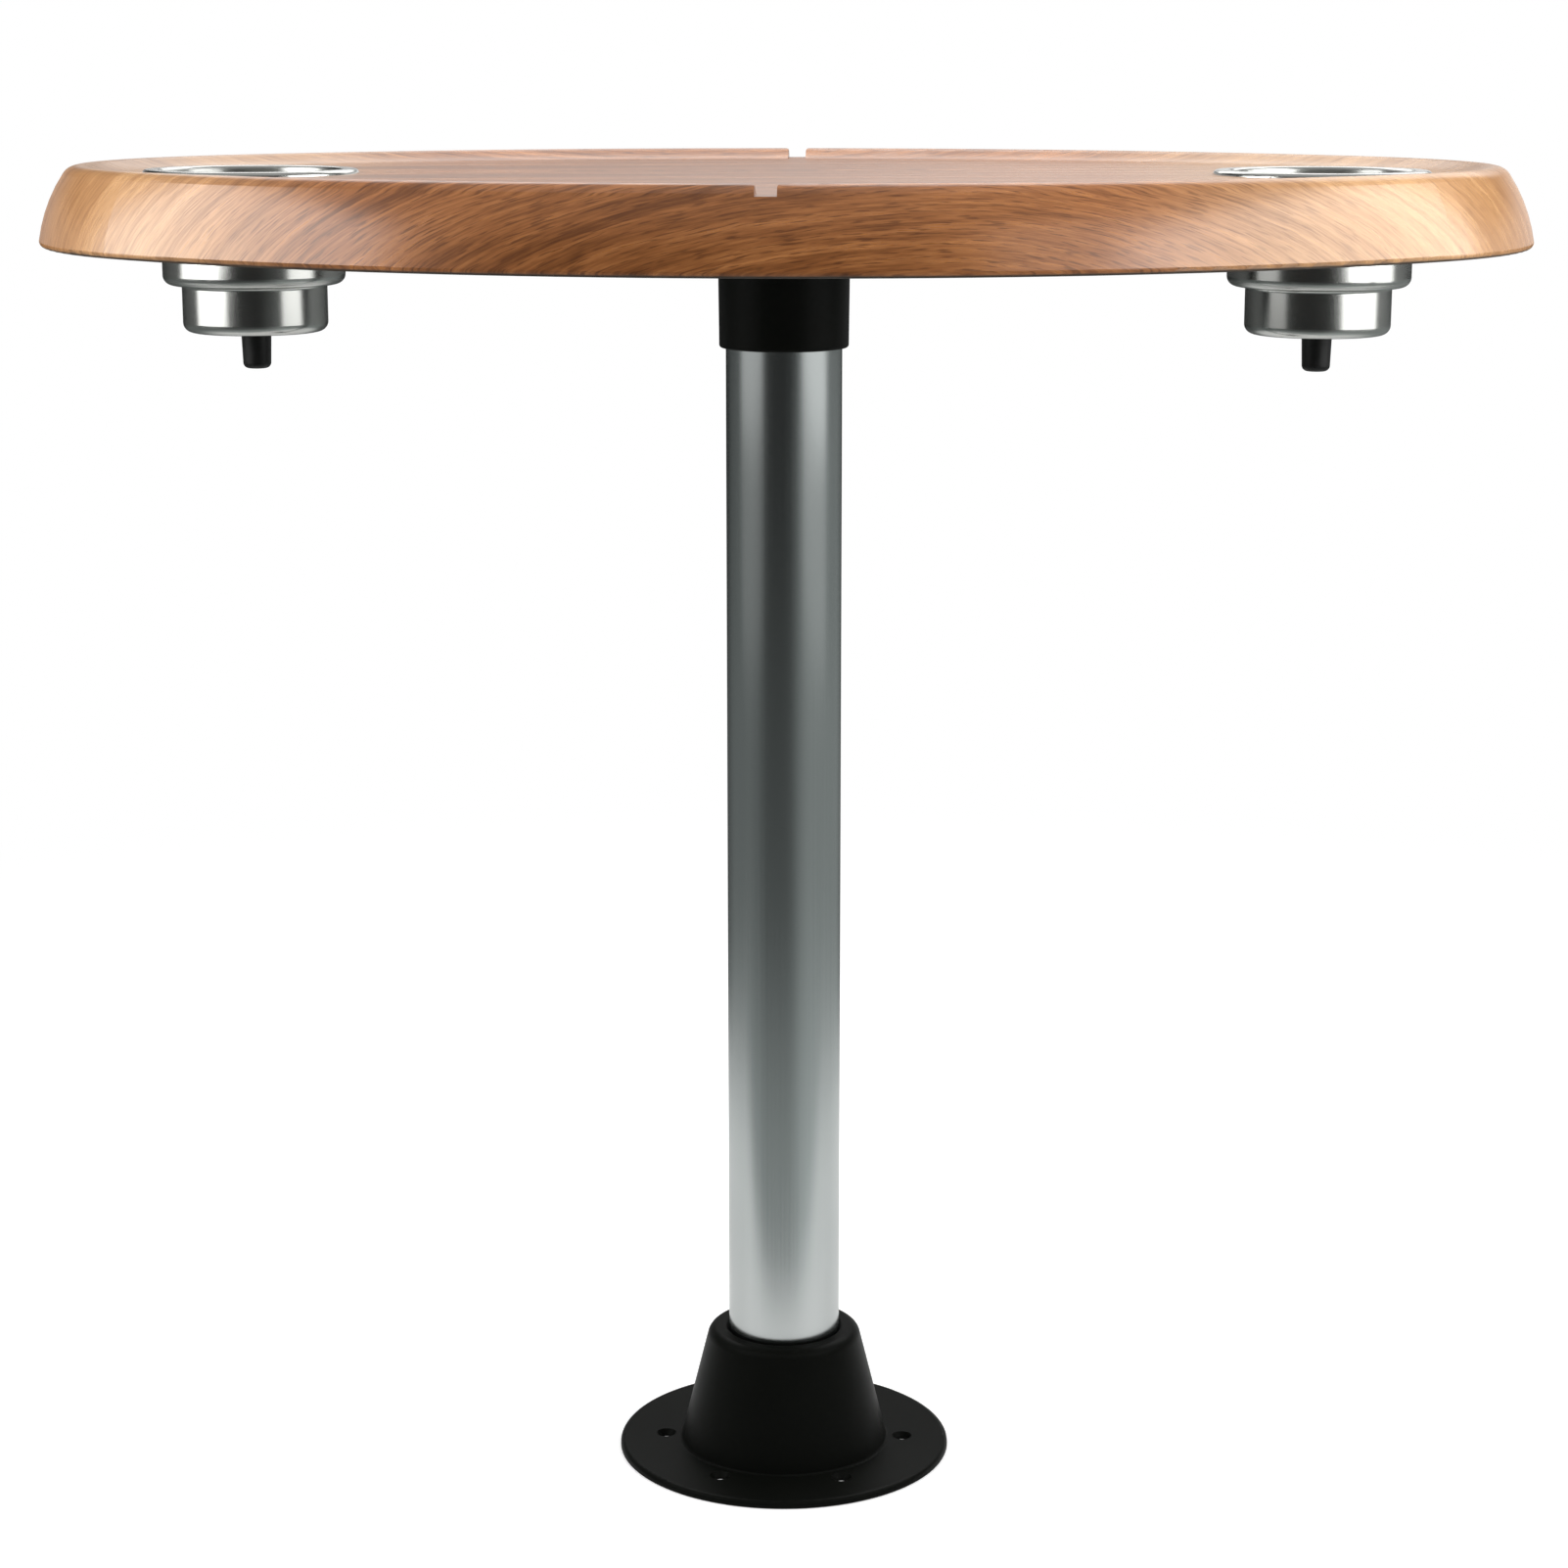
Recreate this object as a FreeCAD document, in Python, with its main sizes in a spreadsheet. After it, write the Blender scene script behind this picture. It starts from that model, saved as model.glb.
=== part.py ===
# Boat pedestal table: a moulded oval top with two drop-in cup holders on a plug-in pedestal.
# Millimetres, +Z up. The origin is the centre of the deck base, on the deck; X runs along the top.
import FreeCAD
import Part
import Sketcher

import math
import operator
import os

# Driving dimensions: name, value and what it measures.
DIMENSIONS = (
    ("tube_diameter", 60, "outside of the pedestal tube"),
    ("tube_wall", 2, "wall of the pedestal tube"),
    ("tube_length", 644.5, "length of the pedestal tube"),
    ("tube_chamfer", 0.8, "chamfer on the tube's ends"),
    ("socket_clearance", 0.1, "radial clearance between the tube and its sockets"),
    ("base_flange_diameter", 180, "outside of the deck flange"),
    ("base_flange_thickness", 3.6, "thickness of the deck flange"),
    ("base_edge_round", 2.6, "round on the flange's upper edge"),
    ("base_foot_diameter", 113, "base boss where it meets the flange"),
    ("base_foot_round", 1.5, "fillet between boss and flange"),
    ("base_mouth_land", 8.9, "flat top of the boss, outside the lead-in"),
    ("base_height", 68, "top of the base boss above the deck"),
    ("base_mouth_round", 6, "round on the boss's top edge"),
    ("base_mouth_lead", 1.5, "lead-in chamfer where the tube enters the base"),
    ("base_wall", 3.5, "moulded wall of the boss"),
    ("base_sleeve_wall", 3.5, "wall of the sleeve that grips the tube"),
    ("base_seat_height", 6, "seat under the tube, above the deck"),
    ("base_relief", 2, "gap between the seat's web and the deck"),
    ("base_drain_diameter", 16, "drain hole in the seat"),
    ("base_rib_count", 6, "ribs between sleeve and boss"),
    ("base_rib_thickness", 3, "thickness of a rib"),
    ("base_rib_root", 1, "depth a rib runs into the walls it joins"),
    ("base_hole_count", 6, "deck screw holes"),
    ("base_hole_offset", 8.5, "centre of a deck screw hole outside the boss's foot"),
    ("base_hole_diameter", 6.5, "deck screw hole"),
    ("base_countersink_diameter", 11, "countersink of a deck screw hole"),
    ("base_countersink_angle", 90, "included angle of the countersink, degrees"),
    ("collar_wall", 3.8, "wall of the collar at its flange"),
    ("collar_foot_wall", 3.25, "wall of the collar at its lower end"),
    ("collar_drop", 53, "lower end of the collar below the top's underside"),
    ("collar_round", 1.5, "round on the collar's lower edge"),
    ("collar_lead", 1, "lead-in chamfer where the tube enters the collar"),
    ("collar_fillet", 5, "fillet between collar and flange"),
    ("socket_web", 4, "web that rests on the tube's upper end"),
    ("socket_vent_diameter", 12, "vent hole in the web"),
    ("socket_flange_diameter", 160, "outside of the screw flange"),
    ("socket_flange_thickness", 5, "thickness of the screw flange"),
    ("socket_flange_round", 2, "round on the screw flange's lower edge"),
    ("screw_count", 6, "screws in the flange"),
    ("screw_setback", 15, "centre of a screw from the edge of the screw flange"),
    ("screw_diameter", 4.8, "shank of a screw"),
    ("screw_end_gap", 3.7, "gap between a screw's point and the core"),
    ("screw_tip", 4, "length of the screw's point"),
    ("screw_head_diameter", 9.5, "head of a screw"),
    ("screw_head_height", 3.2, "height of a screw's head"),
    ("screw_head_edge", 0.8, "straight edge of the head"),
    ("screw_recess_width", 1.2, "slot of the cross recess"),
    ("screw_recess_length", 5, "length of the cross recess"),
    ("screw_recess_depth", 1.6, "depth of the cross recess"),
    ("screw_clearance", 0.1, "radial clearance round a screw's shank"),
    ("table_length", 755, "top, end to end"),
    ("table_width", 540, "top, side to side"),
    ("table_end_radius", 197, "radius of the outline at the two ends"),
    ("table_height", 40, "top, underside to rim crest"),
    ("edge_corner_round", 3, "round where the edge meets the underside"),
    ("edge_lean", 13, "inset of the edge at its shoulder"),
    ("edge_bulge_radius", 81, "radius of the edge between underside and shoulder"),
    ("shoulder_drop", 4, "shoulder of the edge below the crest"),
    ("crest_radius", 9, "radius of the edge between shoulder and crest"),
    ("crest_inset", 20.5, "inset of the rim's crest from the outline"),
    ("rim_height", 5.3, "rim above the field"),
    ("rim_crown", 12, "radius of the crest on its inner side"),
    ("rim_run", 21.3, "width of the slope from the crest down to the field"),
    ("field_wall", 4, "moulded wall of the field"),
    ("field_lap", 6, "width of field that is moulded with the rim"),
    ("edge_wall", 4, "moulded wall of the edge at its shoulder"),
    ("edge_lip", 4, "lip round the underside panel"),
    ("panel_ledge", 4.5, "ledge that carries the underside panel"),
    ("panel_gap", 0.3, "gap round the underside panel"),
    ("panel_thickness", 3, "underside panel"),
    ("notch_width", 10, "clear width of a rim notch"),
    ("notch_round", 1.5, "round on a rim notch's upper corners"),
    ("core_thickness", 12, "plywood core"),
    ("core_gap", 1, "gap between core and edge wall"),
    ("block_diameter", 180, "plywood mounting block"),
    ("cup_margin", 8, "flat field between a cup's rim and the slope at the end of the top"),
    ("cup_hole_clearance", 1, "radial clearance between a cup and its hole"),
    ("cup_upper_diameter", 93.2, "outside of a cup above its step"),
    ("cup_rim_width", 8.4, "rim of a cup outside its wall"),
    ("cup_rim_rise", 2.4, "top of a cup's rim above the field"),
    ("cup_step_width", 9.5, "step of a cup, from its upper to its lower wall"),
    ("cup_step_depth", 56, "step of a cup below the field"),
    ("cup_depth", 80.2, "bottom of a cup below the field"),
    ("cup_wall", 1, "sheet of a cup"),
    ("cup_corner_round", 5, "outside round of a cup's step and bottom"),
    ("cup_neck_round", 1.5, "outside fillet under a cup's step"),
    ("cup_mouth_round", 2.5, "inside round of a cup's mouth"),
    ("gasket_edge_gap", 0.5, "gap between a gasket and the curl of the rim"),
    ("spigot_diameter", 11, "outside of a drain spigot"),
    ("spigot_wall", 1, "wall of a drain spigot"),
    ("spigot_length", 16, "drain spigot below the cup"),
    ("cap_wall", 2.12, "wall of a drain cap"),
    ("cap_taper", 0.5, "radius lost from a drain cap's open end to its closed end"),
    ("cap_floor", 2.4, "closed end of a drain cap"),
    ("cap_end_gap", 0.6, "gap between a spigot's end and the cap's closed end"),
    ("cap_round", 3, "round on a drain cap's closed end"),
    ("cap_mouth_round", 0.8, "round on a drain cap's open end"),
    ("cap_gap", 0.3, "gap between a drain cap and its cup"),
    ("cap_clearance", 0.08, "radial clearance between a drain cap and its spigot"),
    ("cut_overrun", 5, "extra reach of a cut past the solid"),
)

doc = FreeCAD.newDocument("boat_pedestal_table")
sheet = doc.addObject("Spreadsheet::Sheet", "dims")
for row, (alias, value, meaning) in enumerate(DIMENSIONS, start=1):
    sheet.set(f"A{row}", meaning)
    sheet.set(f"B{row}", str(value))
    sheet.setAlias(f"B{row}", alias)
doc.recompute()

OPERATORS = {
    "+": operator.add,
    "-": operator.sub,
    "*": operator.mul,
    "/": operator.truediv,
}


class Size:
    """A number together with the spreadsheet formula that it comes from."""

    def __init__(self, value, formula):
        self.value = value
        self.formula = formula

    def __add__(self, other):
        return combined(self, "+", other)

    def __sub__(self, other):
        return combined(self, "-", other)

    def __mul__(self, other):
        return combined(self, "*", other)

    def __truediv__(self, other):
        return combined(self, "/", other)

    def __neg__(self):
        return combined(0, "-", self)


def as_size(number):
    return number if isinstance(number, Size) else Size(number, str(number))


def combined(left, sign, right):
    left = as_size(left)
    right = as_size(right)
    value = OPERATORS[sign](left.value, right.value)
    return Size(value, f"({left.formula} {sign} {right.formula})")


def dim(alias):
    """The size in the spreadsheet cell of that name."""
    return Size(float(sheet.get(alias)), f"dims.{alias}")


def half(alias):
    return dim(alias) / 2


ZERO = as_size(0)
LEFT = 1
RIGHT = -1


class Corner:
    """A corner of an outline. With a radius, an arc leads from it to the next corner,
    and the arc's centre lies on the given side of the way there."""

    def __init__(self, x, y, radius=None, side=LEFT):
        self.x = x
        self.y = y
        self.radius = radius
        self.side = side

    def point(self):
        return FreeCAD.Vector(self.x.value, self.y.value, 0)


def arc_between(begin, end, radius, side):
    """The lesser arc from begin to end, counter-clockwise as a sketch keeps it."""
    chord = end - begin
    across = FreeCAD.Vector(-chord.y, chord.x, 0).normalize() * side
    reach = math.sqrt(max(radius**2 - (chord.Length / 2) ** 2, 0))
    centre = (begin + end) / 2 + across * reach
    first, last = (begin, end) if side == LEFT else (end, begin)
    angles = [math.atan2(p.y - centre.y, p.x - centre.x) for p in (first, last)]
    if angles[1] < angles[0]:
        angles[1] += 2 * math.pi
    circle = Part.Circle(centre, FreeCAD.Vector(0, 0, 1), radius)
    return Part.ArcOfCircle(circle, angles[0], angles[1])


def bind(sketch, index, size):
    sketch.setExpression(f"Constraints[{index}]", size.formula)


def pin_point(sketch, geometry, position, x, y):
    """Holds one point of a sketch at x, y from the sketch's origin."""
    for kind, axis, size in (("DistanceX", -2, x), ("DistanceY", -1, y)):
        if size.value == 0:
            sketch.addConstraint(Sketcher.Constraint("PointOnObject", geometry, position, axis))
        else:
            constraint = Sketcher.Constraint(kind, -1, 1, geometry, position, size.value)
            bind(sketch, sketch.addConstraint(constraint), size)


def draw_outline(sketch, corners):
    """Draws a closed outline of lines and arcs, held by its corners and radii."""
    sides = []
    for begin, end in zip(corners, corners[1:] + corners[:1]):
        if begin.radius is None:
            segment = Part.LineSegment(begin.point(), end.point())
            sides.append((sketch.addGeometry(segment), 1, 2))
        else:
            arc = arc_between(begin.point(), end.point(), begin.radius.value, begin.side)
            positions = (1, 2) if begin.side == LEFT else (2, 1)
            sides.append((sketch.addGeometry(arc), *positions))
    for this, following in zip(sides, sides[1:] + sides[:1]):
        joint = Sketcher.Constraint("Coincident", this[0], this[2], following[0], following[1])
        sketch.addConstraint(joint)
    for corner, (geometry, begin_position, _) in zip(corners, sides):
        pin_point(sketch, geometry, begin_position, corner.x, corner.y)
        if corner.radius is not None:
            radius = Sketcher.Constraint("Radius", geometry, corner.radius.value)
            bind(sketch, sketch.addConstraint(radius), corner.radius)


def draw_circle(sketch, x, y, diameter):
    centre = FreeCAD.Vector(x.value, y.value, 0)
    circle = Part.Circle(centre, FreeCAD.Vector(0, 0, 1), diameter.value / 2)
    geometry = sketch.addGeometry(circle)
    pin_point(sketch, geometry, 3, x, y)
    constraint = Sketcher.Constraint("Diameter", geometry, diameter.value)
    bind(sketch, sketch.addConstraint(constraint), diameter)


def origin_feature(body, role):
    for feature in body.Origin.OriginFeatures:
        if feature.Role == role:
            return feature


def new_body(label, x=ZERO, y=ZERO, z=ZERO):
    """A sub-part, modelled at its own origin and placed by the spreadsheet."""
    body = doc.addObject("PartDesign::Body", label)
    body.Label = label
    for axis, size in (("x", x), ("y", y), ("z", z)):
        body.setExpression(f"Placement.Base.{axis}", size.formula)
    return body


def new_sketch(body, name, plane, offset=ZERO):
    sketch = body.newObject("Sketcher::SketchObject", f"{body.Label}_{name}")
    sketch.AttachmentSupport = (origin_feature(body, plane), [""])
    sketch.MapMode = "FlatFace"
    sketch.setExpression("AttachmentOffset.Base.z", offset.formula)
    return sketch


def new_feature(body, kind, name, profile):
    feature = body.newObject(f"PartDesign::{kind}", f"{body.Label}_{name}")
    feature.Profile = profile
    return feature


def revolve(body, name, corners):
    """Turns an outline in the XZ plane about the body's own Z axis."""
    sketch = new_sketch(body, f"{name}_outline", "XZ_Plane")
    draw_outline(sketch, corners)
    feature = new_feature(body, "Revolution", name, sketch)
    feature.ReferenceAxis = (sketch, ["V_Axis"])
    feature.Angle = 360
    doc.recompute()
    return feature


def pad(body, name, sketch, length):
    feature = new_feature(body, "Pad", name, sketch)
    feature.setExpression("Length", length.formula)
    doc.recompute()
    return feature


def cut_through(body, name, sketch):
    """Cuts a sketch right through the body, to both sides of its plane."""
    before = body.Shape.Volume
    feature = new_feature(body, "Pocket", name, sketch)
    feature.Type = "ThroughAll"
    feature.SideType = "Symmetric"
    doc.recompute()
    if body.Shape.Volume >= before:
        raise RuntimeError(f"{feature.Name} cuts nothing")
    return feature


def polar_pattern(body, name, feature, count):
    pattern = body.newObject("PartDesign::PolarPattern", f"{body.Label}_{name}")
    pattern.Originals = [feature]
    pattern.Axis = (origin_feature(body, "Z_Axis"), [""])
    pattern.Angle = 360
    pattern.setExpression("Occurrences", count.formula)
    body.Tip = pattern
    doc.recompute()
    return pattern


def ring_edges(shape, radius, height):
    """The names of the round edges of that radius and height about the Z axis."""
    tolerance = radius.value / 10000
    names = []
    for number, edge in enumerate(shape.Edges, start=1):
        circle = edge.Curve
        if not isinstance(circle, Part.Circle):
            continue
        on_height = abs(edge.BoundBox.Center.z - height.value) < tolerance
        if on_height and abs(circle.Radius - radius.value) < tolerance:
            names.append(f"Edge{number}")
    return names


def fillet_ring(body, name, radius, height, fillet):
    """Rounds the edges of that radius and height about the Z axis."""
    base = body.Tip
    edges = ring_edges(base.Shape, radius, height)
    feature = body.newObject("PartDesign::Fillet", f"{body.Label}_{name}")
    feature.Base = (base, edges)
    feature.setExpression("Radius", fillet.formula)
    doc.recompute()
    return feature


# Heights that the pieces share
TUBE_RADIUS = half("tube_diameter")
BORE_RADIUS = TUBE_RADIUS + dim("socket_clearance")
UNDERSIDE = dim("base_seat_height") + dim("tube_length") + dim("socket_web")
FIELD = dim("table_height") - dim("rim_height")
FIELD_BACK = FIELD - dim("field_wall")
CORE_BACK = FIELD_BACK - dim("core_thickness")

# The oval of the top: two side arcs and two end arcs, tangent where they meet
HALF_LENGTH = half("table_length")
HALF_WIDTH = half("table_width")
END_RADIUS = dim("table_end_radius")
SIDE_RADIUS = (HALF_LENGTH * HALF_LENGTH + HALF_WIDTH * HALF_WIDTH - HALF_LENGTH * END_RADIUS * 2) / (
    (HALF_WIDTH - END_RADIUS) * 2
)
END_CENTRE = HALF_LENGTH - END_RADIUS
SIDE_CENTRE = SIDE_RADIUS - HALF_WIDTH
CENTRE_SPAN = SIDE_RADIUS - END_RADIUS
FIELD_INSET = dim("crest_inset") + dim("rim_run")

# The cups, on the flat field near its two ends
CUP_RADIUS = half("cup_upper_diameter")
CUP_RIM_RADIUS = CUP_RADIUS + dim("cup_rim_width")
CUP_OFFSET = HALF_LENGTH - FIELD_INSET - dim("cup_margin") - CUP_RIM_RADIUS


def oval(inset):
    """The outline of the top, drawn in by an inset, from its +X end round by +Y."""
    end_radius = END_RADIUS - inset
    side_radius = SIDE_RADIUS - inset
    tip = HALF_LENGTH - inset
    x = END_CENTRE * side_radius / CENTRE_SPAN
    y = SIDE_CENTRE * end_radius / CENTRE_SPAN
    return [
        Corner(tip, ZERO, end_radius),
        Corner(x, y, side_radius),
        Corner(-x, y, end_radius),
        Corner(-tip, ZERO, end_radius),
        Corner(-x, -y, side_radius),
        Corner(x, -y, end_radius),
    ]


# Deck base: a ribbed moulding whose sleeve grips the tube
def make_floor_base():
    body = new_body("floor_base")
    flange_radius = half("base_flange_diameter")
    flange = dim("base_flange_thickness")
    edge_round = dim("base_edge_round")
    foot_radius = half("base_foot_diameter")
    top = dim("base_height")
    wall = dim("base_wall")
    lead = dim("base_mouth_lead")
    mouth_radius = BORE_RADIUS + lead + dim("base_mouth_land")
    seat = dim("base_seat_height")
    relief = dim("base_relief")
    drain_radius = half("base_drain_diameter")
    sleeve_radius = BORE_RADIUS + dim("base_sleeve_wall")
    slope = (foot_radius - mouth_radius) / (top - flange)
    ceiling = top - wall
    inner_foot = foot_radius - wall
    inner_top = mouth_radius + slope * wall - wall
    revolve(body, "moulding", [
        Corner(drain_radius, relief),
        Corner(sleeve_radius, relief),
        Corner(sleeve_radius, ceiling),
        Corner(inner_top, ceiling),
        Corner(inner_foot, ZERO),
        Corner(flange_radius, ZERO),
        Corner(flange_radius, flange - edge_round, edge_round),
        Corner(flange_radius - edge_round, flange),
        Corner(foot_radius, flange),
        Corner(mouth_radius, top),
        Corner(BORE_RADIUS + lead, top),
        Corner(BORE_RADIUS, top - lead),
        Corner(BORE_RADIUS, seat),
        Corner(drain_radius, seat),
    ])
    fillet_ring(body, "mouth_round", mouth_radius, top, dim("base_mouth_round"))
    fillet_ring(body, "foot_round", foot_radius, flange, dim("base_foot_round"))

    root = dim("base_rib_root")
    rib_sketch = new_sketch(body, "rib_outline", "XZ_Plane")
    draw_outline(rib_sketch, [
        Corner(sleeve_radius - root, relief),
        Corner(inner_foot + root, relief),
        Corner(inner_top + root, ceiling),
        Corner(inner_top, ceiling + root),
        Corner(sleeve_radius - root, ceiling + root),
    ])
    rib = new_feature(body, "Pad", "rib", rib_sketch)
    rib.SideType = "Symmetric"
    rib.setExpression("Length", dim("base_rib_thickness").formula)
    doc.recompute()
    polar_pattern(body, "ribs", rib, dim("base_rib_count"))

    hole_sketch = new_sketch(body, "hole_centre", "XY_Plane", flange)
    draw_circle(hole_sketch, foot_radius + dim("base_hole_offset"), ZERO, dim("base_hole_diameter"))
    doc.recompute()
    hole = new_feature(body, "Hole", "hole", hole_sketch)
    hole.DepthType = "ThroughAll"
    hole.setExpression("Diameter", dim("base_hole_diameter").formula)
    hole.HoleCutType = "Countersink"
    hole.HoleCutCustomValues = True
    hole.setExpression("HoleCutDiameter", dim("base_countersink_diameter").formula)
    hole.setExpression("HoleCutCountersinkAngle", dim("base_countersink_angle").formula)
    doc.recompute()
    polar_pattern(body, "holes", hole, dim("base_hole_count"))
    return body


# Pedestal tube, standing on the seat of the base
def make_pedestal_tube():
    body = new_body("pedestal_tube", z=dim("base_seat_height"))
    inner = TUBE_RADIUS - dim("tube_wall")
    length = dim("tube_length")
    chamfer = dim("tube_chamfer")
    revolve(body, "wall", [
        Corner(inner, ZERO),
        Corner(TUBE_RADIUS - chamfer, ZERO),
        Corner(TUBE_RADIUS, chamfer),
        Corner(TUBE_RADIUS, length - chamfer),
        Corner(TUBE_RADIUS - chamfer, length),
        Corner(inner, length),
    ])
    return body


SCREW_FLANGE_RADIUS = half("socket_flange_diameter")
SCREW_AXIS = SCREW_FLANGE_RADIUS - dim("screw_setback")
SCREW_HOLE = dim("screw_diameter") + dim("screw_clearance") * 2


def ring_of_holes(body, name):
    """Screw holes right through a body, on the pitch circle of the socket's screws."""
    sketch = new_sketch(body, f"{name}_centre", "XY_Plane")
    draw_circle(sketch, SCREW_AXIS, ZERO, SCREW_HOLE)
    hole = cut_through(body, name, sketch)
    return polar_pattern(body, f"{name}_ring", hole, dim("screw_count"))


# Socket under the top: a collar over the tube's upper end, with a screw flange
def make_table_socket():
    body = new_body("table_socket", z=UNDERSIDE)
    collar_radius = BORE_RADIUS + dim("collar_wall")
    foot_radius = BORE_RADIUS + dim("collar_foot_wall")
    vent_radius = half("socket_vent_diameter")
    flange = dim("socket_flange_thickness")
    drop = dim("collar_drop")
    web = dim("socket_web")
    lead = dim("collar_lead")
    revolve(body, "moulding", [
        Corner(vent_radius, -web),
        Corner(BORE_RADIUS, -web),
        Corner(BORE_RADIUS, lead - drop),
        Corner(BORE_RADIUS + lead, -drop),
        Corner(foot_radius, -drop),
        Corner(collar_radius, -flange),
        Corner(SCREW_FLANGE_RADIUS, -flange),
        Corner(SCREW_FLANGE_RADIUS, ZERO),
        Corner(vent_radius, ZERO),
    ])
    fillet_ring(body, "collar_round", foot_radius, -drop, dim("collar_round"))
    fillet_ring(body, "collar_fillet", collar_radius, -flange, dim("collar_fillet"))
    fillet_ring(body, "flange_round", SCREW_FLANGE_RADIUS, -flange, dim("socket_flange_round"))
    ring_of_holes(body, "screw_hole")
    return body


# Six pan-head screws that hold the socket to the block inside the top
def make_socket_screws():
    flange = dim("socket_flange_thickness")
    body = new_body("socket_screws", z=UNDERSIDE - flange)
    body.AllowCompound = True
    axis = SCREW_AXIS
    shank = half("screw_diameter")
    head = half("screw_head_diameter")
    length = flange + CORE_BACK - dim("screw_end_gap")
    height = dim("screw_head_height")
    edge = dim("screw_head_edge")
    crown = height - edge
    dome_radius = (head * head + crown * crown) / (crown * 2)
    sketch = new_sketch(body, "screw_outline", "XZ_Plane")
    draw_outline(sketch, [
        Corner(axis, -height, dome_radius),
        Corner(axis + head, -edge),
        Corner(axis + head, ZERO),
        Corner(axis + shank, ZERO),
        Corner(axis + shank, length - dim("screw_tip")),
        Corner(axis, length),
    ])
    centre_line = Part.LineSegment(
        FreeCAD.Vector(axis.value, -height.value, 0), FreeCAD.Vector(axis.value, length.value, 0)
    )
    line = sketch.addGeometry(centre_line, True)
    pin_point(sketch, line, 1, axis, -height)
    pin_point(sketch, line, 2, axis, length)
    screw = new_feature(body, "Revolution", "screw", sketch)
    screw.ReferenceAxis = (sketch, ["Axis0"])
    screw.Angle = 360
    doc.recompute()

    slot = half("screw_recess_width")
    arm = half("screw_recess_length")
    recess_sketch = new_sketch(body, "recess_outline", "XY_Plane", -height)
    draw_outline(recess_sketch, [
        Corner(axis + arm, -slot),
        Corner(axis + arm, slot),
        Corner(axis + slot, slot),
        Corner(axis + slot, arm),
        Corner(axis - slot, arm),
        Corner(axis - slot, slot),
        Corner(axis - arm, slot),
        Corner(axis - arm, -slot),
        Corner(axis - slot, -slot),
        Corner(axis - slot, -arm),
        Corner(axis + slot, -arm),
        Corner(axis + slot, -slot),
    ])
    before = body.Shape.Volume
    recess = new_feature(body, "Pocket", "recess", recess_sketch)
    recess.Reversed = True
    recess.setExpression("Length", dim("screw_recess_depth").formula)
    doc.recompute()
    if body.Shape.Volume >= before:
        raise RuntimeError("the screw recess cuts nothing")

    pattern = body.newObject("PartDesign::PolarPattern", "socket_screws_ring")
    pattern.TransformMode = "Whole shape"
    pattern.Axis = (origin_feature(body, "Z_Axis"), [""])
    pattern.Angle = 360
    pattern.setExpression("Occurrences", dim("screw_count").formula)
    body.Tip = pattern
    doc.recompute()
    return body


def cut_cup_holes(body):
    """Cuts the two holes that the cups drop through."""
    diameter = (CUP_RADIUS + dim("cup_hole_clearance")) * 2
    sketch = new_sketch(body, "cup_hole_circles", "XY_Plane")
    for x in (CUP_OFFSET, -CUP_OFFSET):
        draw_circle(sketch, x, ZERO, diameter)
    return cut_through(body, "cup_holes", sketch)


# Moulded top: the rolled edge and rim are swept round the oval, the field closes them
def make_top_shell():
    body = new_body("top_shell", z=UNDERSIDE)
    height = dim("table_height")
    corner = dim("edge_corner_round")
    panel = dim("panel_thickness")
    lip = dim("edge_lip")
    crest = dim("crest_inset")
    lap_inset = FIELD_INSET + dim("field_lap")
    end = HALF_LENGTH

    # The slope inside the rim: the crest's round runs into a hollow that ends level with the field
    rim = dim("rim_height")
    run = dim("rim_run")
    crown = dim("rim_crown")
    radius_sum = (run * run + rim * rim) / (rim * 2)
    crown_share = crown / radius_sum

    path = new_sketch(body, "outline", "XY_Plane")
    draw_outline(path, oval(ZERO))
    section = new_sketch(body, "edge_section", "XZ_Plane")
    draw_outline(section, [
        Corner(end - corner, ZERO, corner),
        Corner(end, corner, dim("edge_bulge_radius")),
        Corner(end - dim("edge_lean"), height - dim("shoulder_drop"), dim("crest_radius")),
        Corner(end - crest, height, crown),
        Corner(end - crest - run * crown_share, height - rim * crown_share, radius_sum - crown, RIGHT),
        Corner(end - FIELD_INSET, FIELD),
        Corner(end - lap_inset, FIELD),
        Corner(end - lap_inset, FIELD_BACK),
        Corner(end - dim("edge_lean") - dim("edge_wall"), FIELD_BACK),
        Corner(end - lip - dim("panel_ledge"), panel),
        Corner(end - lip, panel),
        Corner(end - lip, ZERO),
    ])
    edge = new_feature(body, "AdditivePipe", "edge", section)
    edge.Spine = path
    doc.recompute()

    field_sketch = new_sketch(body, "field_outline", "XY_Plane", FIELD_BACK)
    draw_outline(field_sketch, oval(FIELD_INSET + half("field_lap")))
    pad(body, "field", field_sketch, dim("field_wall"))
    cut_cup_holes(body)

    side = half("notch_width")
    notch_round = dim("notch_round")
    flare = side + notch_round
    above = height + dim("cut_overrun")
    notch_sketch = new_sketch(body, "notch_outline", "XZ_Plane")
    draw_outline(notch_sketch, [
        Corner(-side, FIELD),
        Corner(side, FIELD),
        Corner(side, height - notch_round, notch_round, RIGHT),
        Corner(flare, height),
        Corner(flare, above),
        Corner(-flare, above),
        Corner(-flare, height, notch_round, RIGHT),
        Corner(-side, height - notch_round),
    ])
    cut_through(body, "notches", notch_sketch)
    return body


# Panel that closes the shell from below, lying on the ledge inside its lip
def make_underside_panel():
    body = new_body("underside_panel", z=UNDERSIDE)
    sketch = new_sketch(body, "outline", "XY_Plane")
    draw_outline(sketch, oval(dim("edge_lip") + dim("panel_gap")))
    pad(body, "sheet", sketch, dim("panel_thickness"))
    cut_cup_holes(body)
    ring_of_holes(body, "screw_hole")
    return body


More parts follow.
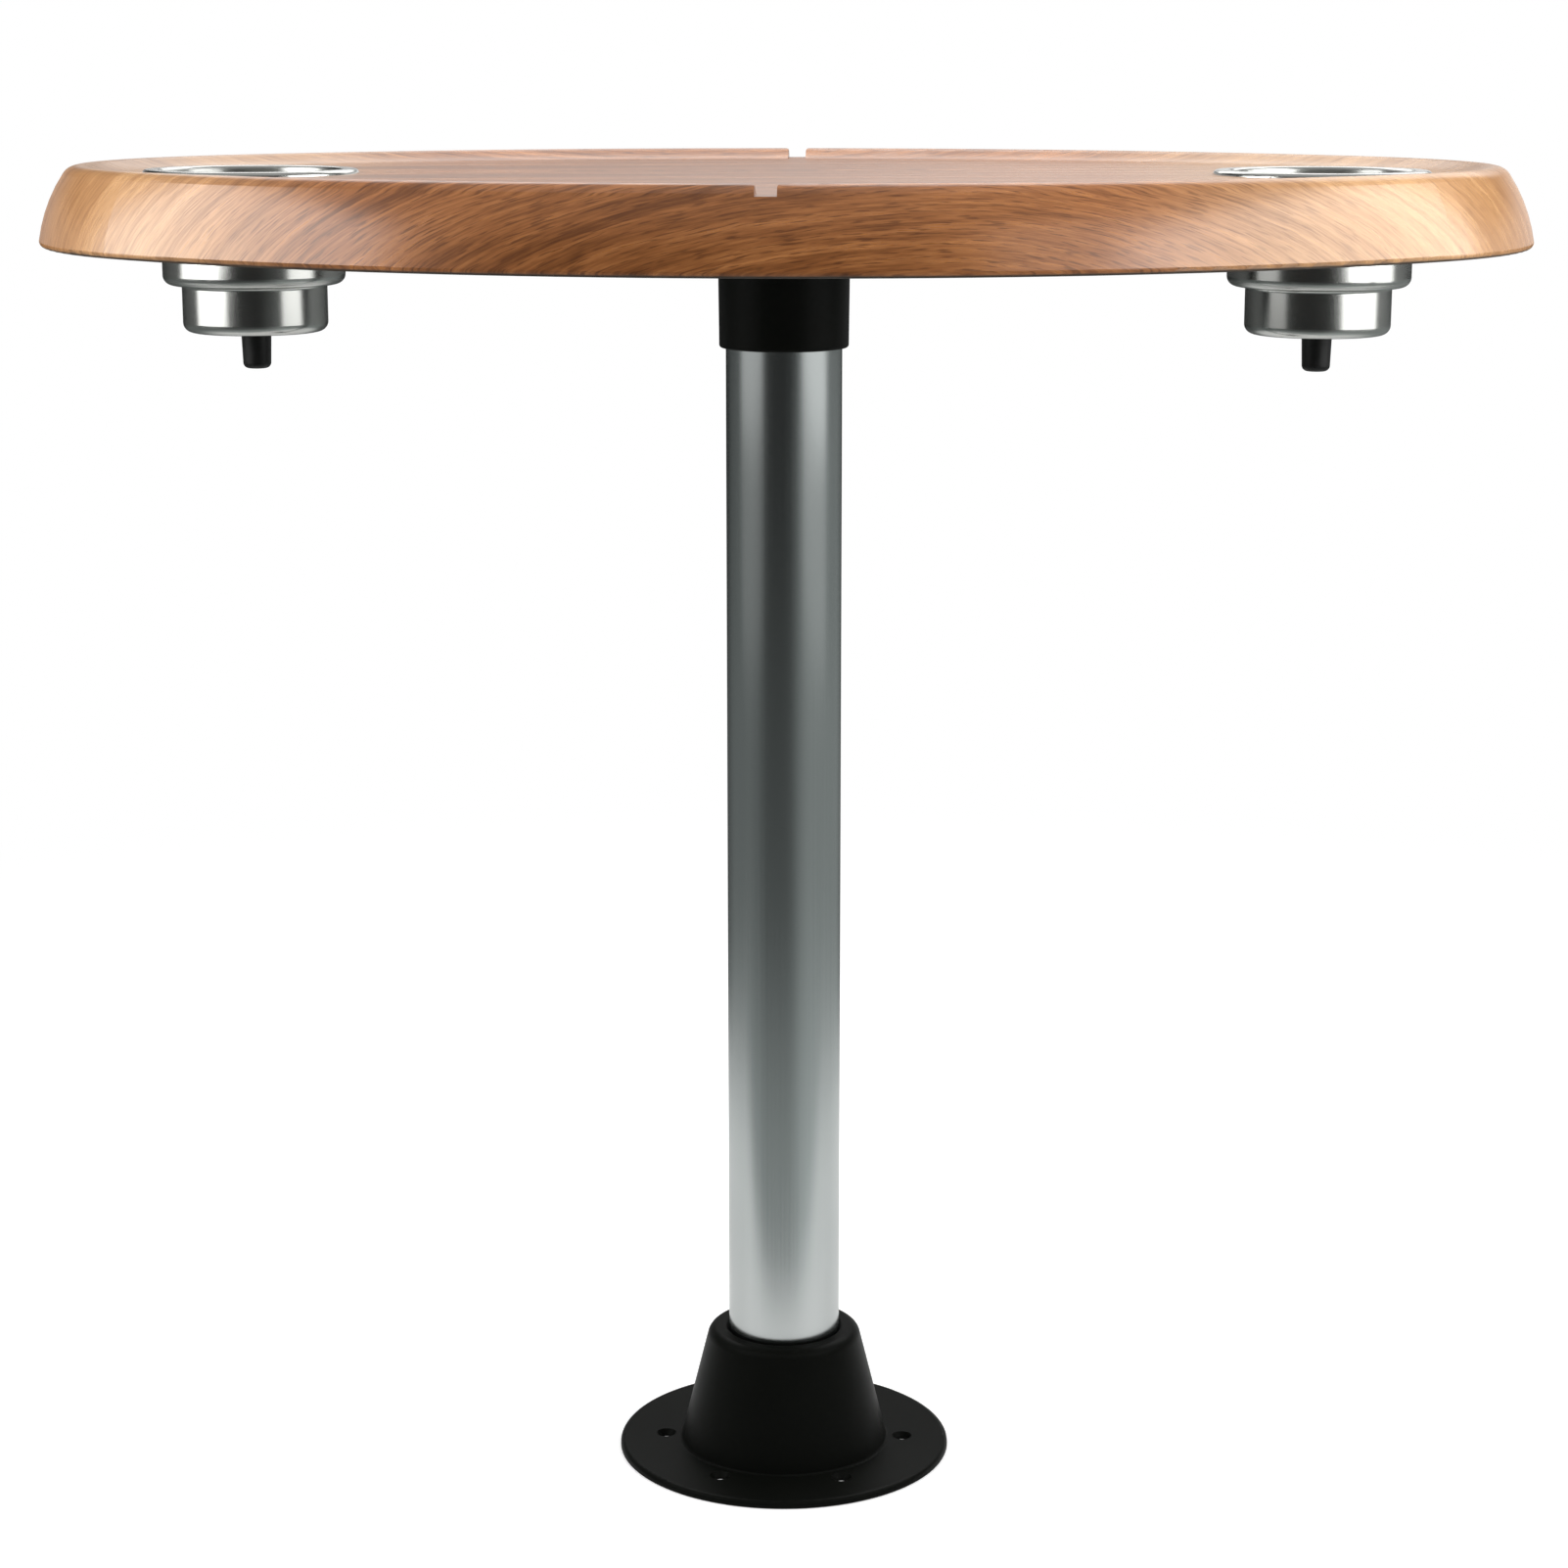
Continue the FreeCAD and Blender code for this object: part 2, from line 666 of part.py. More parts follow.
# Plywood core, bonded to the back of the field
def make_core_board():
    body = new_body("core_board", z=UNDERSIDE + CORE_BACK)
    sketch = new_sketch(body, "outline", "XY_Plane")
    draw_outline(sketch, oval(dim("edge_lean") + dim("edge_wall") + dim("core_gap")))
    pad(body, "board", sketch, dim("core_thickness"))
    cut_cup_holes(body)
    return body


# Plywood block between panel and core, which takes the socket's screws
def make_mounting_block():
    panel = dim("panel_thickness")
    body = new_body("mounting_block", z=UNDERSIDE + panel)
    sketch = new_sketch(body, "outline", "XY_Plane")
    draw_circle(sketch, ZERO, ZERO, dim("block_diameter"))
    pad(body, "disc", sketch, CORE_BACK - panel)
    ring_of_holes(body, "pilot_hole")
    return body


# Cup parts, in the frame of a cup: its axis is Z and the field is at zero height
CUP_FLOOR = -dim("cup_depth")
RIM_BACK = dim("cup_rim_rise") - dim("cup_wall")
SPIGOT_RADIUS = half("spigot_diameter")
SPIGOT_BORE = SPIGOT_RADIUS - dim("spigot_wall")
SPIGOT_END = CUP_FLOOR - dim("spigot_length")


def place_at_cup(label, side):
    return new_body(label, x=CUP_OFFSET * side, z=UNDERSIDE + FIELD)


# Stepped cup of thin sheet, with a curled rim that lies on the field
def make_cup(label, side):
    body = place_at_cup(label, side)
    wall = dim("cup_wall")
    rise = dim("cup_rim_rise")
    rim = CUP_RIM_RADIUS
    neck = CUP_RADIUS - dim("cup_step_width")
    step = -dim("cup_step_depth")
    corner = dim("cup_corner_round")
    inner_corner = corner - wall
    neck_round = dim("cup_neck_round")
    mouth = dim("cup_mouth_round")
    back_round = mouth - wall
    curl = rise - wall
    inner = CUP_RADIUS - wall
    revolve(body, "sheet", [
        Corner(rim, ZERO, rise),
        Corner(rim - rise, rise),
        Corner(inner + mouth, rise, mouth),
        Corner(inner, rise - mouth),
        Corner(inner, step + corner, inner_corner, RIGHT),
        Corner(inner - inner_corner, step + wall),
        Corner(neck + neck_round, step + wall, neck_round + wall),
        Corner(neck - wall, step - neck_round),
        Corner(neck - wall, CUP_FLOOR + corner, inner_corner, RIGHT),
        Corner(neck - corner, CUP_FLOOR + wall),
        Corner(SPIGOT_BORE, CUP_FLOOR + wall),
        Corner(SPIGOT_BORE, CUP_FLOOR),
        Corner(neck - corner, CUP_FLOOR, corner),
        Corner(neck, CUP_FLOOR + corner),
        Corner(neck, step - neck_round, neck_round, RIGHT),
        Corner(neck + neck_round, step),
        Corner(CUP_RADIUS - corner, step, corner),
        Corner(CUP_RADIUS, step + corner),
        Corner(CUP_RADIUS, rise - mouth, back_round, RIGHT),
        Corner(CUP_RADIUS + back_round, RIM_BACK),
        Corner(rim - rise, RIM_BACK, curl, RIGHT),
        Corner(rim - wall, ZERO),
    ])
    return body


# Seal ring between the field and the back of the cup's rim
def make_cup_gasket(label, side):
    body = place_at_cup(label, side)
    inner = CUP_RADIUS + dim("cup_mouth_round")
    outer = CUP_RIM_RADIUS - dim("cup_rim_rise") - dim("gasket_edge_gap")
    sketch = new_sketch(body, "rings", "XY_Plane")
    draw_circle(sketch, ZERO, ZERO, outer * 2)
    draw_circle(sketch, ZERO, ZERO, inner * 2)
    pad(body, "ring", sketch, RIM_BACK)
    return body


# Drain tube, butt welded to the underside of the cup
def make_drain_spigot(label, side):
    body = place_at_cup(label, side)
    revolve(body, "tube", [
        Corner(SPIGOT_BORE, SPIGOT_END),
        Corner(SPIGOT_RADIUS, SPIGOT_END),
        Corner(SPIGOT_RADIUS, CUP_FLOOR),
        Corner(SPIGOT_BORE, CUP_FLOOR),
    ])
    return body


# Rubber cap pushed over the drain tube
def make_drain_cap(label, side):
    body = place_at_cup(label, side)
    bore = SPIGOT_RADIUS + dim("cap_clearance")
    radius = bore + dim("cap_wall")
    foot_radius = radius - dim("cap_taper")
    top = CUP_FLOOR - dim("cap_gap")
    floor = SPIGOT_END - dim("cap_end_gap")
    end = floor - dim("cap_floor")
    closed = dim("cap_round")
    lip = dim("cap_mouth_round")
    revolve(body, "moulding", [
        Corner(ZERO, end),
        Corner(foot_radius - closed, end, closed),
        Corner(foot_radius, end + closed),
        Corner(radius, top - lip, lip),
        Corner(radius - lip, top),
        Corner(bore, top),
        Corner(bore, floor),
        Corner(ZERO, floor),
    ])
    return body


sub_parts = [
    make_floor_base(),
    make_pedestal_tube(),
    make_table_socket(),
    make_socket_screws(),
    make_top_shell(),
    make_underside_panel(),
    make_core_board(),
    make_mounting_block(),
]
for hand, side in (("left", -1), ("right", 1)):
    sub_parts.append(make_cup(f"{hand}_cup", side))
    sub_parts.append(make_cup_gasket(f"{hand}_cup_gasket", side))
    sub_parts.append(make_drain_spigot(f"{hand}_drain_spigot", side))
    sub_parts.append(make_drain_cap(f"{hand}_drain_cap", side))
doc.recompute()

for item in doc.Objects:
    if "Invalid" in item.State or "Error" in item.State:
        raise RuntimeError(f"{item.Name} failed: {item.State}")
for sub_part in sub_parts:
    shape = sub_part.Shape
    if shape.isNull() or not shape.isValid():
        raise RuntimeError(f"{sub_part.Label} has no valid shape")

os.makedirs("parts", exist_ok=True)
for sub_part in sub_parts:
    sub_part.Shape.exportStep(f"parts/{sub_part.Label}.step")
    box = sub_part.Shape.BoundBox
    print(
        f"{sub_part.Label}: {len(sub_part.Shape.Solids)} solid(s), {sub_part.Shape.Volume / 1000:.2f} cm3,"
        f" {box.XLength:.1f} x {box.YLength:.1f} x {box.ZLength:.1f}, z {box.ZMin:.2f} to {box.ZMax:.2f}"
    )
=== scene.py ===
# Boat pedestal table: the looks of its pieces, in metres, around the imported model
import math

import bpy
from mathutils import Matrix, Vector


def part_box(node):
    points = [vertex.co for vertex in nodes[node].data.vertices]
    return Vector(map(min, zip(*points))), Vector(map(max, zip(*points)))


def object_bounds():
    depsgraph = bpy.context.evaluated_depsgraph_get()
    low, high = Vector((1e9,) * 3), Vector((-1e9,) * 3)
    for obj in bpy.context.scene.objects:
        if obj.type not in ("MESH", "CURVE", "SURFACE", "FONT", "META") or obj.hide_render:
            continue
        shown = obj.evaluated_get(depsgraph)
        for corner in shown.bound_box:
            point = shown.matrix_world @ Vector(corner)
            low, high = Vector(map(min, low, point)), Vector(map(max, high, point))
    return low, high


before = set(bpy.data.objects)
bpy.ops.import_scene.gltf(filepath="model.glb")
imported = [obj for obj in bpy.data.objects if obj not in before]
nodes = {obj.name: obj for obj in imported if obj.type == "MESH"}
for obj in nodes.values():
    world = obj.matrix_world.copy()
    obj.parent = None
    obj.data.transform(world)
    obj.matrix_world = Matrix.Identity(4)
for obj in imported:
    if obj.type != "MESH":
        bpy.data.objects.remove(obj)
cad_low, cad_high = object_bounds()
bpy.context.scene.view_settings.view_transform = "Standard"

# Camera: a long lens a little above the table top, turned slightly to the right of the middle.
# It stands on a level tripod and looks down at the middle of the tube.
PHOTO_SIDE = 1602
CAMERA_DISTANCE = 1.743
CAMERA_HEIGHT = 0.7552
CAMERA_TURN = math.radians(1.8)
CAMERA_PITCH = 0.2168
FOCAL_PIXELS = 3445.8
SENSOR_WIDTH = 36
NEAR_CLIP = 0.05
FAR_CLIP = 100

bpy.ops.object.camera_add(
    location=(
        CAMERA_DISTANCE * math.sin(CAMERA_TURN),
        -CAMERA_DISTANCE * math.cos(CAMERA_TURN),
        CAMERA_HEIGHT,
    ),
    rotation=(math.pi / 2 - CAMERA_PITCH, 0, CAMERA_TURN),
)
camera = bpy.context.object
camera.data.sensor_width = SENSOR_WIDTH
camera.data.lens = SENSOR_WIDTH * FOCAL_PIXELS / PHOTO_SIDE
camera.data.clip_start = NEAR_CLIP
camera.data.clip_end = FAR_CLIP
bpy.context.scene.camera = camera

# Studio: white paper under the table, running out to a white backdrop, with a soft lamp on each side.
# The room on the camera's side is dim, so bare metal shows the paper, the panels beside the lamps
# and a dark band between them. The floor is clear from below, so the underside can be seen.
WHITE = (1, 1, 1, 1)
BLACK = (0, 0, 0, 1)
FLOOR_SIZE = 40
FLOOR_DROP = 0.0003
PAPER_COLOUR = (0.86, 0.86, 0.86, 1)
PAPER_GLOW = 0.42
PAPER_FADE = (0.35, 1.6)
PAPER_REACH = (1.0, 0.45)
PAPER_FRONT = 0.28
PAPER_BLUR = 0.09
PAPER_TAPER = 0.15
ROOM_GLOW = 0.025
ROOM_TINT = (0.93, 1, 0.99, 1)


class Wire:
    """A socket of a node tree. Sums and products with it add Math nodes."""

    def __init__(self, tree, socket):
        self.tree = tree
        self.socket = socket

    def output(self, name):
        return Wire(self.tree, self.socket.node.outputs[name])

    def maths(self, operation, *values):
        return self.tree.node("Math", {"operation": operation}, dict(enumerate(values)))

    def __add__(self, other):
        return self.maths("ADD", self, other)

    def __radd__(self, other):
        return self.maths("ADD", other, self)

    def __sub__(self, other):
        return self.maths("SUBTRACT", self, other)

    def __rsub__(self, other):
        return self.maths("SUBTRACT", other, self)

    def __mul__(self, other):
        return self.maths("MULTIPLY", self, other)

    def __rmul__(self, other):
        return self.maths("MULTIPLY", other, self)

    def __truediv__(self, other):
        return self.maths("DIVIDE", self, other)

    def __pow__(self, other):
        return self.maths("POWER", self, other)

    def __abs__(self):
        return self.maths("ABSOLUTE", self)

    def at_least(self, other):
        return self.maths("MAXIMUM", self, other)


class Tree:
    """The nodes of a material, of a lamp or of the world."""

    def __init__(self, owner):
        owner.use_nodes = True
        self.owner = owner
        self.nodes = owner.node_tree.nodes
        self.links = owner.node_tree.links

    def node(self, kind, settings=None, inputs=None, output=0):
        made = self.nodes.new(f"ShaderNode{kind}")
        for name, value in (settings or {}).items():
            if name == "stops":
                self.set_stops(made.color_ramp.elements, value)
            else:
                setattr(made, name, value)
        self.connect(made, inputs or {})
        return Wire(self, made.outputs[output])

    def set_stops(self, elements, stops):
        for _ in stops[2:]:
            elements.new(1)
        for element, (place, colour) in zip(elements, stops):
            element.position = place
            element.color = (*colour, 1)

    def connect(self, node, inputs):
        for key, value in inputs.items():
            if isinstance(value, Wire):
                self.links.new(value.socket, node.inputs[key])
            else:
                node.inputs[key].default_value = value

    def finish(self, inputs):
        """Sets the surface of a material, and gives the material back."""
        self.connect(self.nodes["Principled BSDF"], inputs)
        return self.owner

    def split(self, vector):
        x = self.node("SeparateXYZ", inputs={0: vector})
        return x, x.output("Y"), x.output("Z")

    def place(self):
        """Object coordinates as three numbers."""
        return self.split(self.node("TexCoord", output="Object"))

    def ease(self, value, low, high, start=0, end=1):
        """Runs smoothly from start to end while value goes from low to high."""
        limits = {"Value": value, "From Min": low, "From Max": high, "To Min": start, "To Max": end}
        return self.node("MapRange", {"interpolation_type": "SMOOTHSTEP"}, limits)

    def noise(self, x, y, z, scale=1, detail=2, roughness=0.5):
        vector = self.node("CombineXYZ", inputs={0: x, 1: y, 2: z})
        look = {"Vector": vector, "Scale": scale, "Detail": detail, "Roughness": roughness}
        return self.node("TexNoise", {"noise_dimensions": "3D"}, look)

    def blend(self, share, first, second, way="MIX"):
        """A colour between two others, or the first tinted by the second."""
        settings = {"data_type": "RGBA", "blend_type": way}
        return self.node("Mix", settings, {0: share, 6: first, 7: second}, output=2)

    def bump(self, height, strength, distance):
        return self.node("Bump", inputs={"Strength": strength, "Distance": distance, "Height": height})


# What metal shows of the floor: the paper gives way to the floor of the dim room, a first share of it
# near the base and the rest past the paper's edge. Each pool of light on that floor has the distances,
# or the shares of sideways to distance, where it starts and ends, and then the glow at each.
FIRST_SHARE = 0.25
FIRST_DIMMING = (0.22, 0.38)
NEAR_FLOOR = (1.3, 0.4, 0, 0.24)
MIDDLE_FLOOR = (4.5, 1.5, 0, 0.06)
RIGHT_FLOOR = (0.15, 0.8, 0, 0.21)
LEFT_FLOOR = (-0.5, -0.95, 0, 0.09)
SIDE_REACH = (8.8, 7.0)


def make_paper_floor():
    tree = Tree(bpy.data.materials.new("paper_floor"))
    x, y, _ = tree.place()
    seen = tree.node("LightPath", output="Is Camera Ray")
    mirrored = seen.output("Is Glossy Ray")
    reach = (x * x + y * y) ** 0.5

    # To the camera it is shaded paper near the table and plain white further out
    matt = tree.node("BsdfDiffuse", inputs={"Color": PAPER_COLOUR})
    glow = tree.node("Emission", inputs={"Color": tree.blend(seen, BLACK, WHITE), "Strength": PAPER_GLOW})
    lit = tree.node("AddShader", inputs={0: matt, 1: glow})
    white = tree.node("Emission", inputs={"Color": WHITE, "Strength": 1})
    faded = tree.node("MixShader", inputs={0: seen * tree.ease(reach, *PAPER_FADE), 1: lit, 2: white})

    # To metal it is the paper, and past the paper the floor of the dim room
    past_front = tree.ease(
        abs(x) * PAPER_TAPER - y, PAPER_FRONT - PAPER_BLUR, PAPER_FRONT + PAPER_BLUR
    )
    off_paper = 1 - (1 - past_front) * tree.ease(reach, *PAPER_REACH)
    dimming = FIRST_SHARE * tree.ease(reach, *FIRST_DIMMING) + (1 - FIRST_SHARE) * off_paper
    sideways = x / reach
    sides = tree.ease(sideways, *RIGHT_FLOOR) + tree.ease(sideways, *LEFT_FLOOR)
    middle = tree.ease(reach, *MIDDLE_FLOOR) + tree.ease(reach, *NEAR_FLOOR)
    level = ROOM_GLOW + middle + sides * tree.ease(reach, *SIDE_REACH)
    dim = tree.node("Emission", inputs={"Color": tree.blend(level, BLACK, ROOM_TINT), "Strength": 1})
    studio_floor = tree.node("MixShader", inputs={0: mirrored * dimming, 1: faded, 2: dim})

    below = tree.node("NewGeometry", output="Backfacing")
    clear = tree.node("BsdfTransparent")
    sheet = tree.node("MixShader", inputs={0: seen * below, 1: studio_floor, 2: clear})
    tree.connect(tree.nodes["Material Output"], {"Surface": sheet})
    return tree.owner


bpy.ops.mesh.primitive_plane_add(size=FLOOR_SIZE, location=(0, 0, -FLOOR_DROP))
floor = bpy.context.object
floor.name = "floor"
floor.data.materials.append(make_paper_floor())

# Around the floor: white to the camera, and in metal a low backdrop at the rear and a pale ceiling.
# Each edge has the directions where it starts and ends, and some then have the glow at each.
FILL_LIGHT = 0.22
BACKDROP_GLOW = 0.96
BACKDROP_FRONT = (0.0, 0.5)
BACKDROP_TOP = (0.25, 0.09)
BACKDROP_LEFT = (-0.14, 0.06, 0.5, 1)
CEILING = (0.4, 0.8, 0, 0.45)


def make_studio_room():
    tree = Tree(bpy.data.worlds.new("studio"))
    x, y, z = tree.split(tree.node("TexCoord", output="Generated"))
    seen = tree.node("LightPath", output="Is Camera Ray")
    mirrored = seen.output("Is Glossy Ray")
    upright = tree.ease(y, *BACKDROP_FRONT) * tree.ease(z, *BACKDROP_TOP)
    backdrop = upright * tree.ease(x, *BACKDROP_LEFT)
    room = ROOM_GLOW + BACKDROP_GLOW * backdrop + tree.ease(z, *CEILING)
    unseen = FILL_LIGHT + mirrored * (room - FILL_LIGHT)
    level = unseen + seen * (1 - unseen)
    tree.connect(tree.nodes["Background"], {"Color": tree.blend(level, BLACK, WHITE), "Strength": 1})
    return tree.owner


bpy.context.scene.world = make_studio_room()

# Lamps, the panels that only show in metal, and strips with a short reach beside the table's edge.
# Each has its place, the way it faces, its width and height, and its power in watts.
FROM_LEFT = (0.913, 0.409, 0)
FROM_RIGHT = (-0.985, 0.16, 0)
CARD_TILT = -0.26
STRIP_FADE = 0.8


def add_lamp(name, place, facing, size, power, lights=True, mirrored=True, reach=None, only=None):
    """A soft lamp. It may light, show in metal, end at a reach and keep to some pieces."""
    bpy.ops.object.light_add(type="AREA", location=place)
    lamp = bpy.context.object
    lamp.name = name
    lamp.rotation_euler = Vector(facing).to_track_quat("-Z", "Y").to_euler()
    lamp.data.shape = "RECTANGLE"
    lamp.data.size, lamp.data.size_y = size
    lamp.data.energy = power
    lamp.visible_camera = False
    lamp.visible_diffuse = lights
    lamp.visible_glossy = mirrored
    if only:
        lamp.light_linking.receiver_collection = only
    if reach:
        tree = Tree(lamp.data)
        length = tree.node("LightPath", output="Ray Length")
        tree.connect(tree.nodes["Emission"], {"Strength": tree.ease(length, reach, STRIP_FADE * reach)})


def add_panel(name, place, facing, size, power, **limits):
    """A lamp that only shows in metal and sheen."""
    add_lamp(name, place, facing, size, power, lights=False, **limits)


def choose(name, *pieces, state="INCLUDE"):
    """The pieces that a panel is kept to, or with EXCLUDE is kept from."""
    chosen = bpy.data.collections.new(name)
    for piece in pieces:
        chosen.objects.link(nodes[piece])
    for entry in chosen.collection_objects:
        entry.light_linking.link_state = state
    return chosen


add_lamp("left_lamp", (-0.9, -0.285, 0.905), FROM_LEFT, (0.73, 0.69), 9.2, mirrored=False)
add_lamp("right_lamp", (0.775, -0.34, 0.905), FROM_RIGHT, (0.93, 0.69), 9.4, mirrored=False)
add_lamp("rear_lamp", (0.2, 1.5, 1.75), (-0.2, -1.3, -1.06), (2.4, 1.3), 18)
add_lamp("top_lamp", (0.1, 0, 2.4), (0, 0, -1), (2.0, 1.6), 30, mirrored=False)

right_cup_only = choose("right_cup_only", "right_cup")
left_panel_set = choose("left_panel_set", "pedestal_tube", "right_cup", state="EXCLUDE")
all_but_tube = choose("all_but_tube", "pedestal_tube", state="EXCLUDE")
add_panel("left_panel", (-0.88, -0.33, 0.611), FROM_LEFT, (0.73, 0.154), 0.9, only=left_panel_set)
add_panel("left_far_panel", (-0.88, -0.33, 0.611), FROM_LEFT, (0.73, 0.154), 0.4, only=right_cup_only)
add_panel("right_panel", (0.773, -0.355, 0.596), FROM_RIGHT, (0.80, 0.184), 1.03, only=all_but_tube)

tube_only = choose("tube_only", "pedestal_tube")
add_panel("left_tube_panel", (-0.85, -0.398, 0.5725), FROM_LEFT, (0.878, 0.235), 0.365, only=tube_only)
add_panel("left_low_panel", (-0.85, -0.398, 0.35), FROM_LEFT, (0.878, 0.14), 0.054, only=tube_only)
add_panel("right_tube_panel", (0.76, -0.4335, 0.5725), FROM_RIGHT, (0.959, 0.235), 0.57, only=tube_only)
add_panel("right_low_panel", (0.76, -0.4335, 0.36), FROM_RIGHT, (0.959, 0.14), 0.08, only=tube_only)

add_panel("left_strip", (-0.43, -0.24, 0.76), (0.43, 0.14, 0), (0.30, 0.24), 1.32, reach=0.34)
add_panel("right_strip", (0.425, -0.265, 0.76), (-0.43, 0.17, 0), (0.42, 0.24), 1.82, reach=0.34)
add_panel("front_strip", (0.28, -0.385, 0.75), (-0.12, 0.165, 0), (0.20, 0.22), 0.26, reach=0.32)

drink_holders = choose("drink_holders", "left_cup", "right_cup")
left_tilted = (*FROM_LEFT[:2], CARD_TILT)
right_tilted = (*FROM_RIGHT[:2], CARD_TILT)
add_panel("left_card", (-0.9, -0.285, 0.96), left_tilted, (0.73, 0.44), 6.6, only=drink_holders)
add_panel("right_card", (0.775, -0.34, 0.96), right_tilted, (0.93, 0.44), 7.6, only=drink_holders)

# Deck base: one black moulding, a ribbed boss on a round flange with six countersunk screw holes.
# Its sleeve holds the foot of the tube. The skin has the fine tooth of a spark-eroded mould.
MOULDING_TONES = (0.0036, 0.0041, 0.0033, 1), (0.0056, 0.0062, 0.0052, 1)


def make_black_moulding():
    tree = Tree(bpy.data.materials.new("black_moulding"))
    x, y, z = tree.place()
    tooth = tree.noise(x, y, z, scale=2600, detail=2)
    cloud = tree.noise(x, y, z, scale=24, detail=3)
    return tree.finish({
        "Base Color": tree.blend(cloud, *MOULDING_TONES),
        "Roughness": 0.36 + 0.10 * cloud,
        "Specular IOR Level": 0.06,
        "Normal": tree.bump(tooth, strength=0.22, distance=0.00012),
    })


def dress(material, *names):
    """Gives CAD nodes their finish."""
    for name in names:
        nodes[name].material_slots[0].material = material


black_moulding = make_black_moulding()
dress(black_moulding, "floor_base")

# Pedestal tube: drawn aluminium, clear anodised, standing loose in the base.
# Drawing leaves fine lines along it, so highlights spread sideways and the bands stay soft.
ALUMINIUM_TONES = (0.535, 0.565, 0.56, 1), (0.65, 0.68, 0.67, 1)


def make_drawn_aluminium():
    tree = Tree(bpy.data.materials.new("drawn_aluminium"))
    x, y, z = tree.place()
    lines = tree.noise(x * 900, y * 900, z * 2.5, detail=3, roughness=0.6)
    bands = tree.noise(x * 140, y * 140, z * 0.8, detail=2)
    marks = tree.noise(x * 30, y * 30, z * 9, detail=4, roughness=0.6)
    tone = 0.6 * lines + 0.4 * bands
    return tree.finish({
        "Base Color": tree.blend(tone, *ALUMINIUM_TONES),
        "Metallic": 1,
        "Roughness": 0.15 + 0.10 * tone + 0.07 * marks,
        "Anisotropic": 0.55,
        "Normal": tree.bump(lines, strength=0.10, distance=0.00003),
    })


dress(make_drawn_aluminium(), "pedestal_tube")

# Socket: a black moulded collar that drops over the tube, with a flange under the table.
# It has the same skin as the deck base, and six screws hold it.
dress(black_moulding, "table_socket")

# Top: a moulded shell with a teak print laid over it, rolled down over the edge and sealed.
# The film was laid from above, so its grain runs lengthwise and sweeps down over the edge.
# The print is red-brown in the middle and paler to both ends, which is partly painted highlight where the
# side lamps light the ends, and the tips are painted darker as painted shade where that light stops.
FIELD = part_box("left_cup_gasket")[0].z
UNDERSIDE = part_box("top_shell")[0].z
FILM_STRETCH = 0.62
FILM_TURN = math.radians(8)
HEART_ACROSS = 0.05
HEART_ALONG = -0.02
RING_DEPTH = 0.015
RING_SWELL = 0.10
RING_DRIFT = 0.02

# Where a tone sets in and where it is full, and for the right half, which is painted lighter as painted
# light, its lift at each
# Paler ends: partly the print, partly painted highlight where the side lamps light the ends
PALE_HIGHLIT_ENDS = (0.16, 0.285)
# Tips: painted shade, darker where the side lamps' sheen no longer reaches
SHADED_TIPS = (0.30, 0.37)
RIGHT_HALF_LIGHT = (0.0, 0.1, 0, 0.17)
# Bottom edge: painted shade, a thin dark band where the rounded edge turns down to the floor
BOTTOM_EDGE_SHADE = (UNDERSIDE + 0.0017, UNDERSIDE + 0.0007)
PORE_CUT = (0.04, 0.18)
MIDDLE_PORES = 0.62
END_PORES = 0.28
MEAN_SHADE = 0.46
ZONE_CONTRAST = 0.9
BAND_CONTRAST = 1.1
STREAK_CONTRAST = 1.5
HEART_TONES = (
    (0.10, (0.130, 0.043, 0.0110)),
    (0.50, (0.270, 0.098, 0.0285)),
    (0.90, (0.420, 0.170, 0.0560)),
)
# Pale tones of the ends, which carry part of the lamps' highlight as painted highlight
PALE_HIGHLIT_TONES = (
    (0.10, (0.260, 0.128, 0.0520)),
    (0.50, (0.380, 0.205, 0.0920)),
    (0.90, (0.490, 0.285, 0.1360)),
)
# Tint of the painted shade on the tips
TIP_SHADE_TINT = (0.66, 0.57, 0.46, 1)
PORE_COLOUR = (0.075, 0.024, 0.008, 1)
# Colour of the painted shade along the bottom edge
BOTTOM_EDGE_SHADE_COLOUR = (0.035, 0.022, 0.012, 1)


